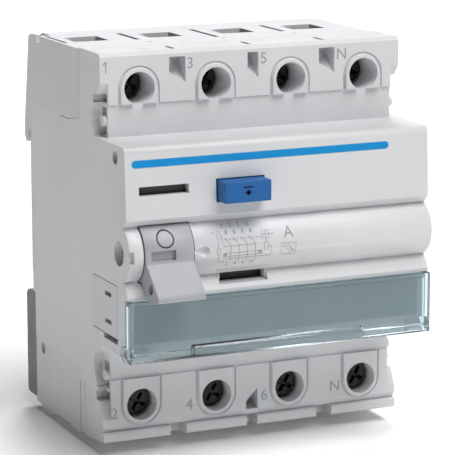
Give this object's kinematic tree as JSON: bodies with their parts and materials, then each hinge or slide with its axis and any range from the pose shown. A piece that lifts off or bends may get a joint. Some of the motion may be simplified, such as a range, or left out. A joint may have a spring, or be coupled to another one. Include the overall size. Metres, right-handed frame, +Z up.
{
  "type": "residual current device",
  "caption": "Rail-mounted residual current circuit breaker with toggle, test button, hinged clear label cover, screw terminals and spring rail latches.",
  "frame": {"origin": "centre of the rail seat: the middle of the flat rear face that lies on the mounting rail's flanges, on the rail's centre line", "axes": "+Y from the front into the rail and the wall, +X to the right seen from the front, +Z up along the height"},
  "size_m": [0.071, 0.0713, 0.0881],
  "materials": {
    "housing_grey": "fine moulded satin",
    "housing_front": "fine moulded satin",
    "toggle_grey": "satin",
    "button_blue": "satin",
    "cover_clear": "clear, pale blue-green, polished",
    "label": "matt card",
    "latch_grey": "satin",
    "screw_steel": "dark zinc passivated",
    "zinc_steel": "zinc plated",
    "copper": "bright copper",
    "spring_steel": "drawn wire",
    "inner_plastic": "moulded",
    "carrier_plastic": "moulded",
    "black_plastic": "moulded",
    "core_alloy": "wound tape",
    "flag_red": "matt",
    "flag_white": "matt",
    "resistor": "lacquered"
  },
  "bodies": {
    "housing": {"rear_housing": "housing_grey", "front_housing": "housing_front", "left_knockout": "housing_grey", "right_knockout": "housing_grey", "mechanism_plate": "inner_plastic", "test_blade": "copper", "test_resistor": "resistor", "test_button_spring": "spring_steel", "label_strip": "label", "left_latch_spring": "spring_steel", "right_latch_spring": "spring_steel", "line_bar_1": "copper", "line_bar_2": "copper", "line_bar_3": "copper", "line_bar_4": "copper", "load_bar_1": "copper", "load_bar_2": "copper", "load_bar_3": "copper", "load_bar_4": "copper", "transformer_case": "black_plastic", "transformer_core": "core_alloy", "transformer_winding": "copper", "primary_conductors": "copper", "relay_body": "black_plastic"},
    "toggle": {"toggle": "toggle_grey", "toggle_shaft": "inner_plastic"},
    "contact_carrier": {"contact_carrier": "carrier_plastic", "contact_springs": "spring_steel", "moving_contact_1": "copper", "moving_contact_2": "copper", "moving_contact_3": "copper", "moving_contact_4": "copper"},
    "contact_flag": {"contact_flag": "flag_red"},
    "test_button": {"test_button": "button_blue"},
    "label_cover": {"label_cover": "cover_clear"},
    "left_latch": {"left_latch": "latch_grey"},
    "right_latch": {"right_latch": "latch_grey"},
    "relay_plunger": {"relay_plunger": "zinc_steel"},
    "fault_flag": {"fault_flag": "flag_white"},
    "upper_screw_1": {"upper_screw_1": "screw_steel"},
    "upper_clamp_1": {"upper_clamp_1": "zinc_steel"},
    "upper_screw_2": {"upper_screw_2": "screw_steel"},
    "upper_clamp_2": {"upper_clamp_2": "zinc_steel"},
    "upper_screw_3": {"upper_screw_3": "screw_steel"},
    "upper_clamp_3": {"upper_clamp_3": "zinc_steel"},
    "upper_screw_4": {"upper_screw_4": "screw_steel"},
    "upper_clamp_4": {"upper_clamp_4": "zinc_steel"},
    "lower_screw_1": {"lower_screw_1": "screw_steel"},
    "lower_clamp_1": {"lower_clamp_1": "zinc_steel"},
    "lower_screw_2": {"lower_screw_2": "screw_steel"},
    "lower_clamp_2": {"lower_clamp_2": "zinc_steel"},
    "lower_screw_3": {"lower_screw_3": "screw_steel"},
    "lower_clamp_3": {"lower_clamp_3": "zinc_steel"},
    "lower_screw_4": {"lower_screw_4": "screw_steel"},
    "lower_clamp_4": {"lower_clamp_4": "zinc_steel"}
  },
  "joints": [
    {"name": "toggle_turn", "type": "hinge", "parent": "housing", "child": "toggle", "pos_m": [-0.02662, -0.0539, -0.0003], "axis": [-1, 0, 0], "range_deg": [0, 60]},
    {"name": "carrier_slide", "type": "slide", "parent": "housing", "child": "contact_carrier", "axis": [0, 1, 0], "range_m": [0, 0.0049]},
    {"name": "contact_flag_slide", "type": "slide", "parent": "housing", "child": "contact_flag", "axis": [0, 0, 1], "range_m": [0, 0.004]},
    {"name": "test_button_push", "type": "slide", "parent": "housing", "child": "test_button", "axis": [0, 1, 0], "range_m": [0, 0.0023], "stiffness_N_per_m": 400, "deforming": ["test_button_spring"]},
    {"name": "label_cover_turn", "type": "hinge", "parent": "housing", "child": "label_cover", "pos_m": [0, -0.0564, -0.0216], "axis": [1, 0, 0], "range_deg": [0, 95]},
    {"name": "left_latch_pull", "type": "slide", "parent": "housing", "child": "left_latch", "axis": [0, 0, -1], "range_m": [0, 0.0045], "stiffness_N_per_m": 600, "deforming": ["left_latch_spring"]},
    {"name": "right_latch_pull", "type": "slide", "parent": "housing", "child": "right_latch", "axis": [0, 0, -1], "range_m": [0, 0.0045], "stiffness_N_per_m": 600, "deforming": ["right_latch_spring"]},
    {"name": "relay_plunger_lift", "type": "slide", "parent": "housing", "child": "relay_plunger", "axis": [0, 0, 1], "range_m": [0, 0.003], "stiffness_N_per_m": 150},
    {"name": "fault_flag_lift", "type": "slide", "parent": "housing", "child": "fault_flag", "axis": [0, 0, 1], "range_m": [0, 0.0031]},
    {"name": "upper_screw_1_turn", "type": "hinge", "parent": "housing", "child": "upper_screw_1", "pos_m": [-0.02662, -0.0385, 0.0328], "axis": [0, 1, 0], "range_deg": [0, 2161]},
    {"name": "upper_clamp_1_draw", "type": "slide", "parent": "housing", "child": "upper_clamp_1", "axis": [0, -1, 0], "range_m": [0, 0.0048]},
    {"name": "upper_screw_2_turn", "type": "hinge", "parent": "housing", "child": "upper_screw_2", "pos_m": [-0.00887, -0.0385, 0.0328], "axis": [0, 1, 0], "range_deg": [0, 2161]},
    {"name": "upper_clamp_2_draw", "type": "slide", "parent": "housing", "child": "upper_clamp_2", "axis": [0, -1, 0], "range_m": [0, 0.0048]},
    {"name": "upper_screw_3_turn", "type": "hinge", "parent": "housing", "child": "upper_screw_3", "pos_m": [0.00887, -0.0385, 0.0328], "axis": [0, 1, 0], "range_deg": [0, 2161]},
    {"name": "upper_clamp_3_draw", "type": "slide", "parent": "housing", "child": "upper_clamp_3", "axis": [0, -1, 0], "range_m": [0, 0.0048]},
    {"name": "upper_screw_4_turn", "type": "hinge", "parent": "housing", "child": "upper_screw_4", "pos_m": [0.02662, -0.0385, 0.0328], "axis": [0, 1, 0], "range_deg": [0, 2161]},
    {"name": "upper_clamp_4_draw", "type": "slide", "parent": "housing", "child": "upper_clamp_4", "axis": [0, -1, 0], "range_m": [0, 0.0048]},
    {"name": "lower_screw_1_turn", "type": "hinge", "parent": "housing", "child": "lower_screw_1", "pos_m": [-0.02662, -0.0385, -0.0364], "axis": [0, 1, 0], "range_deg": [0, 2161]},
    {"name": "lower_clamp_1_draw", "type": "slide", "parent": "housing", "child": "lower_clamp_1", "axis": [0, -1, 0], "range_m": [0, 0.0048]},
    {"name": "lower_screw_2_turn", "type": "hinge", "parent": "housing", "child": "lower_screw_2", "pos_m": [-0.00887, -0.0385, -0.0364], "axis": [0, 1, 0], "range_deg": [0, 2161]},
    {"name": "lower_clamp_2_draw", "type": "slide", "parent": "housing", "child": "lower_clamp_2", "axis": [0, -1, 0], "range_m": [0, 0.0048]},
    {"name": "lower_screw_3_turn", "type": "hinge", "parent": "housing", "child": "lower_screw_3", "pos_m": [0.00887, -0.0385, -0.0364], "axis": [0, 1, 0], "range_deg": [0, 2161]},
    {"name": "lower_clamp_3_draw", "type": "slide", "parent": "housing", "child": "lower_clamp_3", "axis": [0, -1, 0], "range_m": [0, 0.0048]},
    {"name": "lower_screw_4_turn", "type": "hinge", "parent": "housing", "child": "lower_screw_4", "pos_m": [0.02662, -0.0385, -0.0364], "axis": [0, 1, 0], "range_deg": [0, 2161]},
    {"name": "lower_clamp_4_draw", "type": "slide", "parent": "housing", "child": "lower_clamp_4", "axis": [0, -1, 0], "range_m": [0, 0.0048]}
  ],
  "couplings": [
    {"joint": "toggle_turn", "follows": "carrier_slide", "rad_per_m": 213.71},
    {"joint": "contact_flag_slide", "follows": "carrier_slide", "ratio": 0.71429},
    {"joint": "fault_flag_lift", "follows": "relay_plunger_lift", "ratio": 1},
    {"joint": "upper_screw_1_turn", "follows": "upper_clamp_1_draw", "rad_per_m": 7854},
    {"joint": "upper_screw_2_turn", "follows": "upper_clamp_2_draw", "rad_per_m": 7854},
    {"joint": "upper_screw_3_turn", "follows": "upper_clamp_3_draw", "rad_per_m": 7854},
    {"joint": "upper_screw_4_turn", "follows": "upper_clamp_4_draw", "rad_per_m": 7854},
    {"joint": "lower_screw_1_turn", "follows": "lower_clamp_1_draw", "rad_per_m": 7854},
    {"joint": "lower_screw_2_turn", "follows": "lower_clamp_2_draw", "rad_per_m": 7854},
    {"joint": "lower_screw_3_turn", "follows": "lower_clamp_3_draw", "rad_per_m": 7854},
    {"joint": "lower_screw_4_turn", "follows": "lower_clamp_4_draw", "rad_per_m": 7854}
  ]
}
